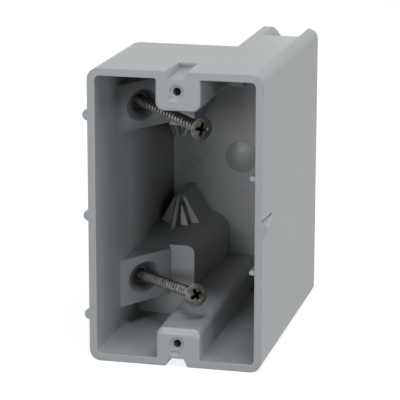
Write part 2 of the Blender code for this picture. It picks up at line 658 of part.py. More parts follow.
def build_body(parts, tools):
    block = outer_block()
    place(block)
    body = to_object(block, "box_body", parts)
    shape = Moulding(body, tools)
    shape.cut(inner_space(), "inner_space")

    shape.add_both(device_rail(), "device_rail")
    shape.add(chamber_lower(), "chamber_lower")
    shape.add(upside_down(chamber_upper()), "chamber_upper")
    shape.add(upside_down(chamber_upper_nose()), "chamber_upper_nose")
    shape.cut_both(web_slope(), "web_slope")
    shape.add_both(hood_block(), "hood_block")
    shape.add(screw_boss(BOSS_START_LOWER), "screw_boss_lower")
    shape.add(upside_down(screw_boss(BOSS_START_UPPER)), "screw_boss_upper")
    shape.add_both(pocket_skin(), "pocket_skin")
    shoulder = cuboid((UPPER_RIGHT - 1.5 * ROOT, STEP_START - WALL * 0.9, HEIGHT - STEP_DEPTH - WALL),
                      (STEP_RIGHT_UPPER + WALL, DEPTH - ROOT * 1.1, HEIGHT - ROOT))
    shape.add(shoulder, "step_shoulder_upper")

    # Cable entries, open to the stud side and to the back
    shape.cut(cuboid((-2 * OVER, STEP_START, -OVER), (STEP_RIGHT_LOWER, DEPTH + OVER, STEP_DEPTH)),
              "cable_step_lower")
    shape.cut(cuboid((-2 * OVER, STEP_START, HEIGHT - STEP_DEPTH),
                     (STEP_RIGHT_UPPER, DEPTH + OVER, HEIGHT + OVER)), "cable_step_upper")
    shape.cut(chamber_lower_hollow(), "chamber_lower_hollow")
    shape.cut(upside_down(chamber_upper_hollow()), "chamber_upper_hollow")
    shape.cut(upside_down(chamber_upper_nose_hollow()), "chamber_upper_nose_hollow")
    shape.cut_both(hood_hollow(), "hood_hollow")
    shape.cut_both(clamp_opening(), "clamp_opening")
    shape.cut_both(end_pocket(), "end_pocket")

    # The core that keeps each device rail at wall thickness, open to the cable step
    core = cuboid((POST_LEFT + WALL, POST_CORE_START, WALL),
                  (STEP_RIGHT_LOWER, STEP_START + ROOT, STEP_DEPTH - POST_CORE_GAP))
    shape.cut_both(core, "post_core")

    # Spring fingers of the cable clamps
    for name, (base, tip, rise) in FINGERS.items():
        shape.add_both(finger(base, tip, rise), "finger_" + name)

    # Recesses and clearance holes for the mounting screws
    for name, entry, lean, seated in SCREW_SETS:
        entry, axis = Vector(entry), Vector(lean).normalized()
        if name == "upper":
            recess = screw_recess(entry, axis, BOSS_START_UPPER, RECESS_OFFSET_UPPER, 0.0)
        else:
            recess = screw_recess(entry, axis, BOSS_START_LOWER, RECESS_OFFSET_LOWER, RECESS_LIFT_LOWER)
        shape.cut(recess, "screw_recess_" + name)
        hole = SCREW_MAJOR / 2 + SCREW_CLEARANCE
        start = entry + axis * OVER
        taper = entry - axis * (seated - SCREW_TIP)
        tip = entry - axis * seated
        shape.cut(rod(start, tip - axis * PILOT_BEYOND, PILOT_HOLE / 2, segments=20), "pilot_" + name)
        shape.cut(hull(rod_ring(start, axis, hole) + rod_ring(taper, axis, hole)
                       + rod_ring(tip, axis, SCREW_CLEARANCE)), "screw_hole_" + name)

    # Device screw holes
    for name, sign in (("lower", -1), ("upper", 1)):
        height = HEIGHT / 2 + DEVICE_HOLE_SHIFT + sign * DEVICE_SPACING / 2
        shape.cut(rod((DEVICE_HOLE_X, -2 * OVER, height), (DEVICE_HOLE_X, DEVICE_HOLE_DEPTH, height),
                      DEVICE_HOLE / 2, segments=20), "device_hole_" + name)
        shape.cut(rod((DEVICE_HOLE_X, -2 * OVER, height), (DEVICE_HOLE_X, DEVICE_SINK_DEPTH, height),
                      DEVICE_SINK / 2, segments=20), "device_sink_" + name)
    shape.cut_both(relief_notch(), "relief_notch")

    # Locating ribs outside, pegs inside, gate dome on the back wall
    for i, height in enumerate(NUB_HEIGHTS):
        shape.add(nub(0.0, height, NUB_RADIUS, NUB_PROUD, -1), "stud_side_rib_%d" % (i + 1))
    shape.add(nub(WIDTH, SIDE_NUB_HEIGHT, SIDE_NUB_RADIUS, NUB_PROUD, 1), "open_side_rib")
    shape.cut(side_mark(), "side_mark")
    for i, height in enumerate(PEG_HEIGHTS):
        tip = WIDTH - WALL - PEG_PROUD
        round_end = PEG_RADIUS * 0.95
        corners = [(tip, height - PEG_RADIUS, round_end), (WIDTH - ROOT, height - PEG_RADIUS, 0),
                   (WIDTH - ROOT, height + PEG_RADIUS, 0), (tip, height + PEG_RADIUS, round_end)]
        shape.add(flat_solid(rounded_outline(corners), "Y", PEG_START, PEG_LENGTH), "peg_%d" % (i + 1))
    ball = (DOME_RADIUS ** 2 + DOME_RISE ** 2) / (2 * DOME_RISE)
    dome = bmesh.new()
    bmesh.ops.create_cone(dome, cap_ends=True, segments=28, radius1=DOME_RADIUS * 1.06,
                          radius2=DOME_RADIUS, depth=OVER)
    bmesh.ops.transform(dome, matrix=Matrix.Rotation(math.radians(90), 4, "X"), verts=dome.verts)
    face = DEPTH - BACK_WALL
    bmesh.ops.translate(dome, vec=(DOME_X, face + OVER * 0.45, DOME_Z), verts=dome.verts)
    front = min(v.co.y for v in dome.verts)
    disc = [f for f in dome.faces if all(abs(v.co.y - front) < 1e-7 for v in f.verts)]
    for share in (0.66, 0.33):
        bmesh.ops.inset_region(dome, faces=disc, thickness=DOME_RADIUS * 0.33)
    for vert in dome.verts:
        away = math.hypot(vert.co.x - DOME_X, vert.co.z - DOME_Z)
        if vert.co.y < face and away < DOME_RADIUS * 0.99:
            vert.co.y = face - DOME_RISE * 0.1 - (math.sqrt(ball ** 2 - away ** 2) - ball + DOME_RISE)
    shape.add(dome, "gate_dome")
    for i, (x, place_up, size) in enumerate(EJECTOR_MARKS):
        height = HOOD_TOP + HOOD_BACK_RISE + place_up * HOOD_CLEAR
        shape.cut(rod((x, face - OVER, height), (x, face + EJECTOR_DEPTH, height), size * HOOD_CLEAR,
                      segments=24), "ejector_mark_%d" % (i + 1))

    shape.cut(cuboid((-3 * OVER, -3 * OVER, -OVER), (WIDTH + 3 * OVER, 0.0, HEIGHT + OVER)), "front_trim")
    body.data.materials.append(plastic())
    smooth_by_angle(body)
    return body


def helical_shaft():
    """The threaded shank: one turn of the thread profile swept by a Screw modifier."""
    root, crest = SCREW_ROOT / 2, SCREW_MAJOR / 2
    profile = bmesh.new()
    turn = [(root, SCREW_PITCH), (root, SCREW_PITCH * 0.52), (crest, SCREW_PITCH * 0.30),
            (crest * 0.99, SCREW_PITCH * 0.22), (root, 0.0)]
    verts = [profile.verts.new((r, 0.0, z)) for r, z in turn]
    for a, b in zip(verts, verts[1:]):
        profile.edges.new((a, b))
    mesh = bpy.data.meshes.new("thread")
    profile.to_mesh(mesh)
    profile.free()
    holder = bpy.data.objects.new("thread", mesh)
    bpy.context.scene.collection.objects.link(holder)
    sweep = holder.modifiers.new("thread", "SCREW")
    sweep.axis = "Z"
    sweep.steps = 12
    sweep.render_steps = 12
    sweep.screw_offset = SCREW_PITCH
    sweep.iterations = int((SCREW_LENGTH - SCREW_TIP) / SCREW_PITCH) - 1
    sweep.use_merge_vertices = True
    sweep.merge_threshold = 0.000001
    graph = bpy.context.evaluated_depsgraph_get()
    graph.update()
    swept = bpy.data.meshes.new_from_object(holder.evaluated_get(graph))
    made = bmesh.new()
    made.from_mesh(swept)
    bpy.data.objects.remove(holder, do_unlink=True)
    bmesh.ops.remove_doubles(made, verts=made.verts, dist=1e-6)
    top = max(v.co.z for v in made.verts)
    bmesh.ops.translate(made, vec=(0, 0, -top), verts=made.verts)
    low = min(v.co.z for v in made.verts)
    for point in ((0.0, 0.0, -THREAD_INSET), (0.0, 0.0, -SCREW_LENGTH)):
        open_edges = [e for e in made.edges if e.is_boundary
                      and abs(e.verts[0].co.z - point[2]) < SCREW_LENGTH / 2]
        caps = bmesh.ops.extrude_edge_only(made, edges=open_edges)
        ends = [v for v in caps["geom"] if isinstance(v, bmesh.types.BMVert)]
        bmesh.ops.pointmerge(made, verts=ends, merge_co=point)
    return made


def build_screw(name, entry, axis, seated, parts, tools):
    shaft = helical_shaft()
    screw = to_object(shaft, name, parts)
    height = SCREW_HEAD_EDGE + SCREW_HEAD_CONE
    cone = bmesh.new()
    bmesh.ops.create_cone(cone, cap_ends=True, segments=32, radius1=SCREW_ROOT / 2 + SCREW_NECK,
                          radius2=SCREW_HEAD / 2, depth=SCREW_HEAD_CONE)
    bmesh.ops.translate(cone, vec=(0, 0, -SCREW_HEAD_EDGE - SCREW_HEAD_CONE / 2), verts=cone.verts)
    top = max(v.co.z for v in cone.verts)
    rim = [f for f in cone.faces if all(abs(v.co.z - top) < 1e-7 for v in f.verts)]
    edge = bmesh.ops.extrude_face_region(cone, geom=rim)
    raised = [v for v in edge["geom"] if isinstance(v, bmesh.types.BMVert)]
    bmesh.ops.translate(cone, vec=(0, 0, SCREW_HEAD_EDGE), verts=raised)
    bmesh.ops.delete(cone, geom=rim, context="FACES_ONLY")
    head_tool = to_object(cone, name + "_head", tools)
    cutters = [(head_tool, "UNION")]
    for i, angle in enumerate((0.0, 90.0)):
        arm = cuboid((-CROSS_SPAN / 2, -CROSS_WIDTH / 2, -CROSS_DEPTH),
                     (CROSS_SPAN / 2, CROSS_WIDTH / 2, OVER / 2))
        for vert in arm.verts:
            if vert.co.z < 0:
                vert.co.x *= 0.36
                vert.co.y *= 0.6
        bmesh.ops.rotate(arm, cent=(0, 0, 0), matrix=Matrix.Rotation(math.radians(angle), 3, "Z"),
                         verts=arm.verts)
        cutters.append((to_object(arm, "%s_cross_%d" % (name, i + 1), tools), "DIFFERENCE"))
    spot = entry + axis * (SCREW_LENGTH - seated) - Vector((WIDTH / 2, DEPTH / 2, 0.0))
    turn = Vector((0, 0, 1)).rotation_difference(axis)
    for item in [screw] + [tool for tool, _ in cutters]:
        item.location = spot
        item.rotation_mode = "QUATERNION"
        item.rotation_quaternion = turn
    for tool, operation in cutters:
        tool.hide_render = True
        tool.display_type = "WIRE"
        step = screw.modifiers.new(tool.name, "BOOLEAN")
        step.operation = operation
        step.solver = "EXACT"
        step.object = tool
    screw.data.materials.append(steel())
    smooth_by_angle(screw)
    return screw


def main():
    clear_scene()
    parts = new_collection("device_box")
    tools = new_collection("cutters")
    build_body(parts, tools)
    for name, entry, lean, seated in SCREW_SETS:
        build_screw("mounting_screw_" + name, Vector(entry), Vector(lean).normalized(), seated, parts, tools)


main()
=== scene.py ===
"""Looks for the moulded device box with its two angled mounting screws.

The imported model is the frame. The moulding gets a finer skin over the same shape, and each screw is
replaced by one with a smooth thread and a cross recess in the same place. Lengths are in metres.
"""
import math

import bmesh
import bpy
from mathutils import Matrix, Vector


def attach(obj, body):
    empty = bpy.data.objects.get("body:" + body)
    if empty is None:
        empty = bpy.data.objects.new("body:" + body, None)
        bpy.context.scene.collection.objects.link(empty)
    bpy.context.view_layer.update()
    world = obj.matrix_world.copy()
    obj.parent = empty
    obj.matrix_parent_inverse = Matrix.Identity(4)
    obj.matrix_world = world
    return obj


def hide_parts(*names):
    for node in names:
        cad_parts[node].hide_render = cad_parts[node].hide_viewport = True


MM = 0.001

# Screws: centre of the head's face from the corner of the stud side, the shank's direction towards the
# head, and how far the cross recess is turned, in degrees
CORNER = Vector((-28.75, -47.25, 0.0)) * MM
SCREWS = {
    "upper": (Vector((35.19, 10.36, 77.23)) * MM, Vector((0.6876, -0.7244, -0.0489)), -8.0),
    "lower": (Vector((33.69, 9.72, 21.80)) * MM, Vector((0.6532, -0.7516, 0.0924)), 25.0),
}
SCREW_LENGTH = 50.5 * MM

# Shank: where it starts under the head's face, its point and how much of the radius is lost there, and
# one turn of the thread as radius and share of the pitch
SHANK_START = 2.6 * MM
TIP_LENGTH = 5.7 * MM
TIP_LOSS = 0.95
CREST = 1.95 * MM
ROOT = 1.50 * MM
PITCH = 1.94 * MM
THREAD_STEPS = 30
THREAD_PROFILE = ((ROOT, 0.0), (ROOT * 1.02, 0.10), (CREST * 0.93, 0.19), (CREST, 0.235), (CREST, 0.285),
                  (CREST * 0.93, 0.33), (ROOT * 1.05, 0.50), (ROOT, 0.60), (ROOT, 0.80), (ROOT, 1.0))

# Head: its half section from the middle of the face down to the neck, as radius and height
HEAD_RADIUS = 3.9 * MM
HEAD_EDGE = 0.45 * MM
HEAD_CONE = 2.5 * MM
HEAD_SIDES = 64
NECK = -HEAD_EDGE - HEAD_CONE
HEAD_SECTION = ((0.0, 0.0), (HEAD_RADIUS - 0.35 * MM, 0.0), (HEAD_RADIUS - 0.10 * MM, -0.07 * MM),
                (HEAD_RADIUS, -0.20 * MM), (HEAD_RADIUS, -HEAD_EDGE),
                (HEAD_RADIUS - 0.12 * MM, -HEAD_EDGE - 0.12 * MM), (CREST * 0.98, NECK + 0.25 * MM),
                (CREST * 0.86, NECK - 0.5 * MM), (0.0, NECK - 0.5 * MM))

# Cross recess: the size of a wing's cutter, how far that stands above the face, what its floor keeps of
# the size, and its rounded corners; and the cone that widens the middle
CROSS_SPAN = 4.8 * MM
CROSS_WIDTH = 1.2 * MM
CROSS_DEPTH = 2.2 * MM
CROSS_ABOVE = 0.1 * MM
CROSS_FLOOR = (0.30, 0.70, 1.0)
CROSS_CORNER = CROSS_WIDTH * 0.22
HEART_RADIUS = 1.1 * MM
HEART_FLOOR = HEART_RADIUS * 0.45
HEART_LENGTH = CROSS_DEPTH * 1.3
HEART_MIDDLE = -CROSS_DEPTH * 0.45
HEART_SIDES = 16

# The part of a head that counts as recess, for its painted shade
RECESS_SHADE_RADIUS = CROSS_SPAN * 0.52
RECESS_SHADE_FLOOR = -CROSS_DEPTH * 1.1

# Device posts, in the same corner's frame
BOX_HEIGHT = 97.5 * MM
WALL = 2.4 * MM
POST_LEFT = 22.4 * MM
POST_WIDTH = 14.8 * MM
POST_HEIGHT = 12.8 * MM
POST_CORNER = 2.6 * MM

# Rounding of their front edges: how far in from the sides and from the inner end, and how deep. What it
# leaves of a post is drawn slightly too large at the sides, and longer behind and below the edge
POST_EDGES = {"lower": (0.6 * MM, 2.3 * MM, 1.2 * MM), "upper": (0.6 * MM, 0.5 * MM, 0.7 * MM)}
EDGE_STEPS = 5
EDGE_SWEEP = math.radians(60.0)
EDGE_CLEAR = 0.3 * MM
POST_GROWN = 0.02 * MM
POST_SPARE = 3 * MM
CORNER_SEGMENTS = 6

# Device holes, with the dent under each
HOLE_X = 29.5 * MM
HOLE_HEIGHTS = (7.68 * MM, 91.02 * MM)
HOLE_REACH = 1.5 * MM
HOLE_DEPTH = 17.0 * MM
DENTS = ((28.9 * MM, 4.5 * MM), (28.6 * MM, 88.8 * MM))
DENT_SIZE = (1.7 * MM, 0.22 * MM, 0.85 * MM)

# The room that the clamp fingers stand in at the lower end, and how much the normal of a front points
# forwards at the least; the fronts found so get painted light
FINGER_ROOM = (Vector((3.5, 62.0, 28.8)) * MM, Vector((20.0, 76.6, 39.0)) * MM)
FINGER_FRONT = 0.3

# Skins: distances within which points are one, the angles of a sharp edge in degrees, and the weight of
# the moulding's large faces in its shading
BODY_MERGE = 0.002 * MM
SPUN_MERGE = 0.001 * MM
BODY_SHARP = 28.0
SCREW_SHARP = 38.0
NORMAL_WEIGHT = 80

# Rigid PVC: colours, among them a painted highlight, painted shade and painted light, and the size of its
# marks
PVC_DARK = "#9b9d9f"
PVC_LIGHT = "#9ea0a2"
PVC_EDGE_HIGHLIGHT = "#b2b5b7"
PVC_CORNER_SHADE = "#363638"
PVC_BORE_SHADE = "#8e9694"
PVC_FINGER_LIGHT = "#b8b8ba"
PVC_IOR = 1.54
CLOUD_SIZE = 14 * MM
FLOW_SIZE = 2.6 * MM
FLOW_STRETCH = (1.0, 0.22, 1.0)
EDGE_RADIUS = 0.35 * MM
CORNER_SHADE_REACH = 9 * MM
PVC_GRAIN = 0.45 * MM
WAVE_SIZE = 9 * MM
WAVE_HEIGHT = 0.10 * MM

# Plated steel: colours, among them the painted shade of the cross recess, and the size of its marks
STEEL_DARK = "#5a5855"
STEEL_LIGHT = "#7d7b75"
STEEL_RECESS_SHADE = "#1c1a18"
BLOTCH_SIZE = 1.6 * MM
STEEL_GRAIN = 0.3 * MM
GRAIN_HEIGHT = 0.02 * MM

# Studio
FLOOR_COLOUR = "#8a8a8a"
FLOOR_GLOW = 0.86
FLOOR_SIZE = 6.0
FLOOR_DROP = 0.1 * MM
LIGHT_SIZE = 0.35
LIGHT_DISTANCE = 1.4
LIGHT_LIFT = 0.22
STRIP_HEIGHT = 0.08
MIDDLE = Vector((0.0, 0.0, 0.05))

# Photograph's viewpoint
CAMERA_PLACE = Vector((0.16074, -0.66978, 0.21925))
CAMERA_LOOK = Vector((-0.230351, 0.941439, -0.246234))
CAMERA_ROLL = math.radians(0.088)
CAMERA_LENS = 187.09
CAMERA_SENSOR = 36.0
CAMERA_CLIP = (0.05, 30.0)

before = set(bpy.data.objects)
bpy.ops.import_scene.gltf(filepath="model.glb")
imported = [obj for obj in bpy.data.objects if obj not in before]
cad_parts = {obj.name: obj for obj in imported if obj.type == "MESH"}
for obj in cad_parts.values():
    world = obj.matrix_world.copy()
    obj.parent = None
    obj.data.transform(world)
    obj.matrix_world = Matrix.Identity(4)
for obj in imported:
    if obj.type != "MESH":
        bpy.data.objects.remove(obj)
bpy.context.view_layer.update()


def linear(hex_colour):
    """An sRGB colour such as #8c9293 as linear red, green, blue and alpha."""
    values = []
    for i in (1, 3, 5):
        part = int(hex_colour[i:i + 2], 16) / 255
        values.append(part / 12.92 if part <= 0.04045 else ((part + 0.055) / 1.055) ** 2.4)
    return (*values, 1.0)


def add(tree, kind, inputs=None, **settings):
    """Adds a node, sets it up, and fills or links its inputs."""
    node = tree.nodes.new(kind)
    for name, value in settings.items():
        setattr(node, name, value)
    for key, value in (inputs or {}).items():
        if isinstance(value, bpy.types.NodeSocket):
            tree.links.new(value, node.inputs[key])
        else:
            node.inputs[key].default_value = value
    return node


def empty_material(name):
    made = bpy.data.materials.new(name)
    made.use_nodes = True
    made.node_tree.nodes.clear()
    return made


def rigid_pvc():
    """Injection-moulded rigid PVC: an even satin grey with a faint cloudiness along the flow of the melt,
    a fine spark-eroded grain, a painted highlight along its rounded edges, painted shade in its tightest
    corners and in the device holes, and painted light on the fronts of the clamp fingers."""
    made = empty_material("rigid_pvc")
    tree = made.node_tree
    place = add(tree, "ShaderNodeTexCoord").outputs["Object"]
    cloud = add(tree, "ShaderNodeTexNoise", {"Vector": place, "Scale": 1 / CLOUD_SIZE, "Detail": 3.0,
                                             "Roughness": 0.55})
    stretched = add(tree, "ShaderNodeMapping", {"Vector": place, "Scale": FLOW_STRETCH})
    flow = add(tree, "ShaderNodeTexNoise", {"Vector": stretched.outputs[0], "Scale": 1 / FLOW_SIZE,
                                            "Detail": 2.0, "Roughness": 0.5})
    mixed = add(tree, "ShaderNodeMath", {0: cloud.outputs["Fac"], 1: flow.outputs["Fac"]},
                operation="ADD")
    share = add(tree, "ShaderNodeMapRange", {"Value": mixed.outputs[0], "From Min": 0.75,
                                             "From Max": 1.25})
    colour = add(tree, "ShaderNodeMix", {"Factor": share.outputs[0], "A": linear(PVC_DARK),
                                         "B": linear(PVC_LIGHT)}, data_type="RGBA")

    # The moulded edges are rounded by about 0.3 mm, and painted paler there as a painted highlight
    round_edge = add(tree, "ShaderNodeBevel", {"Radius": EDGE_RADIUS}, samples=6)
    shape = add(tree, "ShaderNodeNewGeometry")
    facing = add(tree, "ShaderNodeVectorMath", {0: round_edge.outputs[0], 1: shape.outputs["Normal"]},
                 operation="DOT_PRODUCT")
    painted_edge_highlight = add(tree, "ShaderNodeMapRange", {"Value": facing.outputs["Value"], "From Min": 0.995,
                                              "From Max": 0.90, "To Min": 0.0, "To Max": 0.35})
    colour = add(tree, "ShaderNodeMix", {"Factor": painted_edge_highlight.outputs[0], "A": colour.outputs["Result"],
                                         "B": linear(PVC_EDGE_HIGHLIGHT)}, data_type="RGBA")
    # Painted shade darkens the tightest inner corners, such as those between the clamp fingers and the wall,
    # where little light reaches
    corners = add(tree, "ShaderNodeAmbientOcclusion", {"Distance": CORNER_SHADE_REACH}, samples=12)
    painted_corner_shade = add(tree, "ShaderNodeMapRange", {"Value": corners.outputs["AO"], "From Min": 0.12,
                                             "From Max": 0.52, "To Min": 0.95, "To Max": 0.0})
    colour = add(tree, "ShaderNodeMix", {"Factor": painted_corner_shade.outputs[0], "A": colour.outputs["Result"],
                                         "B": linear(PVC_CORNER_SHADE)}, data_type="RGBA")
    # Painted shade in the device holes behind their mouths: a slightly darker grey-green takes the place of
    # the painted corner shade there
    bore = add(tree, "ShaderNodeAttribute", attribute_name="recess").outputs["Fac"]
    deep = add(tree, "ShaderNodeMapRange", {"Value": bore, "From Min": 0.0, "From Max": 0.10})
    colour = add(tree, "ShaderNodeMix", {"Factor": deep.outputs[0], "A": colour.outputs["Result"],
                                         "B": linear(PVC_BORE_SHADE)}, data_type="RGBA")
    # Painted light: the fronts of the clamp fingers, which face the lamps, are painted paler
    finger_lit = add(tree, "ShaderNodeAttribute", attribute_name="finger_lit").outputs["Fac"]
    colour = add(tree, "ShaderNodeMix", {"Factor": finger_lit, "A": colour.outputs["Result"],
                                         "B": linear(PVC_FINGER_LIGHT)}, data_type="RGBA")

    grain = add(tree, "ShaderNodeTexNoise", {"Vector": place, "Scale": 1 / PVC_GRAIN, "Detail": 2.0})
    skin = add(tree, "ShaderNodeBump", {"Height": grain.outputs["Fac"], "Strength": 0.18,
                                        "Distance": GRAIN_HEIGHT, "Normal": round_edge.outputs[0]})
    waviness = add(tree, "ShaderNodeTexNoise", {"Vector": place, "Scale": 1 / WAVE_SIZE, "Detail": 1.0})
    sunk = add(tree, "ShaderNodeBump", {"Height": waviness.outputs["Fac"], "Strength": 0.15,
                                        "Distance": WAVE_HEIGHT, "Normal": skin.outputs[0]})
    gloss = add(tree, "ShaderNodeMapRange", {"Value": flow.outputs["Fac"], "From Min": 0.3, "From Max": 0.7,
                                             "To Min": 0.37, "To Max": 0.40})
    shader = add(tree, "ShaderNodeBsdfPrincipled", {"Base Color": colour.outputs["Result"],
                                                    "Roughness": gloss.outputs[0], "IOR": PVC_IOR,
                                                    "Normal": sunk.outputs[0]})
    add(tree, "ShaderNodeOutputMaterial", {"Surface": shader.outputs[0]})
    return made


def plated_steel():
    """Dull zinc-plated steel: a grey-brown metal with soft highlights and blotches of the passivation, and
    painted shade in the cross recess.
    """
    made = empty_material("plated_steel")
    tree = made.node_tree
    place = add(tree, "ShaderNodeTexCoord").outputs["Object"]
    blotch = add(tree, "ShaderNodeTexNoise", {"Vector": place, "Scale": 1 / BLOTCH_SIZE, "Detail": 3.0})
    share = add(tree, "ShaderNodeMapRange", {"Value": blotch.outputs["Fac"], "From Min": 0.35,
                                             "From Max": 0.65})
    tint = add(tree, "ShaderNodeMix", {"Factor": share.outputs[0], "A": linear(STEEL_DARK),
                                       "B": linear(STEEL_LIGHT)}, data_type="RGBA")
    grain = add(tree, "ShaderNodeTexNoise", {"Vector": place, "Scale": 1 / STEEL_GRAIN, "Detail": 2.0})
    skin = add(tree, "ShaderNodeBump", {"Height": grain.outputs["Fac"], "Strength": 0.25,
                                        "Distance": GRAIN_HEIGHT})
    # Painted shade darkens the cross recess below the head's face, where little light reaches
    sunk = add(tree, "ShaderNodeAttribute", attribute_name="recess").outputs["Fac"]
    recess_shade_share = add(tree, "ShaderNodeMapRange", {"Value": sunk, "From Min": 0.02, "From Max": 0.30})
    shaded_recess = add(tree, "ShaderNodeMix", {"Factor": recess_shade_share.outputs[0], "A": tint.outputs["Result"],
                                         "B": linear(STEEL_RECESS_SHADE)}, data_type="RGBA")
    gloss = add(tree, "ShaderNodeMapRange", {"Value": blotch.outputs["Fac"], "From Min": 0.3,
                                             "From Max": 0.7, "To Min": 0.40, "To Max": 0.52})
    shader = add(tree, "ShaderNodeBsdfPrincipled", {"Base Color": shaded_recess.outputs["Result"], "Metallic": 1.0,
                                                    "Roughness": gloss.outputs[0],
                                                    "Normal": skin.outputs[0]})
    add(tree, "ShaderNodeOutputMaterial", {"Surface": shader.outputs[0]})
    return made


def to_object(made, name, material):
    mesh = bpy.data.meshes.new(name)
    made.to_mesh(mesh)
    made.free()
    item = bpy.data.objects.new(name, mesh)
    bpy.context.scene.collection.objects.link(item)
    mesh.materials.append(material)
    return item


def smooth(item, angle):
    item.data.shade_smooth()
    item.data.set_sharp_from_angle(angle=math.radians(angle))


def combine(item, steps):
    """Applies each tool to the object, in order, and removes the tools."""
    for tool, operation in steps:
        step = item.modifiers.new(tool.name, "BOOLEAN")
        step.operation = operation
        step.solver = "EXACT"
        step.object = tool
    graph = bpy.context.evaluated_depsgraph_get()
    graph.update()
    mesh = bpy.data.meshes.new_from_object(item.evaluated_get(graph))
    item.modifiers.clear()
    item.data = mesh
    for tool, _ in steps:
        bpy.data.objects.remove(tool, do_unlink=True)
    return item


def block(size, middle=(0, 0, 0)):
    made = bmesh.new()
    bmesh.ops.create_cube(made, size=1.0)
    bmesh.ops.scale(made, vec=size, verts=made.verts)
    bmesh.ops.translate(made, vec=middle, verts=made.verts)
    return made


def rounded(made, edges, offset, segments):
    bmesh.ops.bevel(made, geom=edges, offset=offset, offset_type="OFFSET", segments=segments, profile=0.5,
                    affect="EDGES", material=-1)


def turned(made, angle):
    bmesh.ops.rotate(made, cent=(0, 0, 0), matrix=Matrix.Rotation(math.radians(angle), 3, "Z"),
                     verts=made.verts)


def spun(outline, angle, steps, rise=0.0, merge=False):
    """An outline of radii and heights, turned round the Z axis and lifted at each step."""
    made = bmesh.new()
    verts = [made.verts.new((radius, 0.0, height)) for radius, height in outline]
    edges = [made.edges.new(pair) for pair in zip(verts, verts[1:])]
    bmesh.ops.spin(made, geom=verts + edges, cent=(0, 0, 0), axis=(0, 0, 1), dvec=(0, 0, rise), angle=angle,
                   steps=steps, use_merge=merge, use_normal_flip=False, use_duplicate=False)
    bmesh.ops.remove_doubles(made, verts=made.verts, dist=SPUN_MERGE)
    return made


def post_edge(name, material):
    """What the rounding takes off a post's front edge: a block less the post's rounded end."""
    side, end, depth = POST_EDGES[name]
    middle = POST_LEFT + POST_WIDTH / 2
    reach = POST_HEIGHT - WALL
    taken_off = block((POST_WIDTH + 2 * EDGE_CLEAR, depth + EDGE_CLEAR, reach),
                      (middle, (depth - EDGE_CLEAR) / 2, WALL + EDGE_CLEAR + reach / 2))

    post = block((POST_WIDTH + 2 * POST_GROWN, POST_SPARE, reach + POST_SPARE),
                 (middle, depth + POST_SPARE / 2, POST_HEIGHT + POST_GROWN - (reach + POST_SPARE) / 2))
    corners = [e for e in post.edges if all(v.co.z > POST_HEIGHT for v in e.verts)
               and abs(e.verts[0].co.y - e.verts[1].co.y) > MM]
    rounded(post, corners, POST_CORNER, CORNER_SEGMENTS)
    face = min(post.faces, key=lambda f: f.calc_center_median().y)
    pivot = Vector((middle, 0, WALL))
    taken, place = 0.0, depth
    for i in range(EDGE_STEPS + 2):
        angle = EDGE_SWEEP * max(0.0, 1 - (i + 1) / (EDGE_STEPS + 1))
        share = 1 - math.sin(angle) / math.sin(EDGE_SWEEP)
        fall = depth * (1 - math.cos(angle)) / (1 - math.cos(EDGE_SWEEP))
        y = fall if i <= EDGE_STEPS else -2 * EDGE_CLEAR
        face = bmesh.ops.extrude_discrete_faces(post, faces=[face])["faces"][0]
        scale = ((POST_WIDTH / 2 - side * share) / (POST_WIDTH / 2 - side * taken), 1.0,
                 (reach - end * share) / (reach - end * taken))
        bmesh.ops.scale(post, vec=scale, verts=face.verts, space=Matrix.Translation(-pivot))
        bmesh.ops.translate(post, vec=(0, y - place, 0), verts=face.verts)
        taken, place = share, y
    for made in (taken_off, post):
        bmesh.ops.translate(made, vec=CORNER, verts=made.verts)
        if name == "upper":
            bmesh.ops.scale(made, vec=(1, 1, -1), verts=made.verts)
            bmesh.ops.translate(made, vec=(0, 0, BOX_HEIGHT), verts=made.verts)
            bmesh.ops.recalc_face_normals(made, faces=made.faces)
    kept = to_object(post, "post", material)
    return combine(to_object(taken_off, "edge_block", material), [(kept, "DIFFERENCE")])


def dent(across, height, material):
    """The shallow lead-in mark under a device hole."""
    made = bmesh.new()
    bmesh.ops.create_uvsphere(made, u_segments=24, v_segments=16, radius=1.0)
    bmesh.ops.scale(made, vec=DENT_SIZE, verts=made.verts)
    bmesh.ops.translate(made, vec=CORNER + Vector((across, 0, height)), verts=made.verts)
    return to_object(made, "dent", material)


def mark_holes(mesh):
    """Says how deep in a device hole each point lies, for the painted shade there."""
    recess = mesh.attributes.new("recess", "FLOAT", "POINT")
    for vert, depth in zip(mesh.vertices, recess.data):
        place = vert.co - CORNER
        for height in HOLE_HEIGHTS:
            if math.hypot(place.x - HOLE_X, place.z - height) < HOLE_REACH:
                depth.value = max(0.0, place.y / HOLE_DEPTH)


def mark_fingers(mesh):
    """Says which faces are fronts of the clamp fingers, at both ends, for the painted light on them."""
    fingers = mesh.attributes.new("finger_lit", "FLOAT", "FACE")
    low, high = FINGER_ROOM
    for face, amount in zip(mesh.polygons, fingers.data):
        place = face.center - CORNER
        # The upper end's fingers are looked at as if they stood at the lower end
        place.z = min(place.z, BOX_HEIGHT - place.z)
        inside = all(a < b < c for a, b, c in zip(low, place, high))
        amount.value = float(inside and face.normal.y < -FINGER_FRONT)


def moulding_skin(material):
    """The moulding, merged from the frame's loose triangles and shaded smooth round its curves."""
    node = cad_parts["box_body"]
    made = bmesh.new()
    made.from_mesh(node.data)
    made.transform(node.matrix_world)
    bmesh.ops.remove_doubles(made, verts=made.verts, dist=BODY_MERGE)
    item = to_object(made, "device_box_moulding", material)
    tools = [post_edge(name, material) for name in POST_EDGES] + [dent(*place, material) for place in DENTS]
    combine(item, [(tool, "DIFFERENCE") for tool in tools])
    stored = item.data.attributes.get("custom_normal")
    if stored is not None:
        item.data.attributes.remove(stored)
    mark_holes(item.data)
    mark_fingers(item.data)
    smooth(item, BODY_SHARP)
    even = item.modifiers.new("even_normals", "WEIGHTED_NORMAL")
    even.weight = NORMAL_WEIGHT
    even.keep_sharp = True
    return item


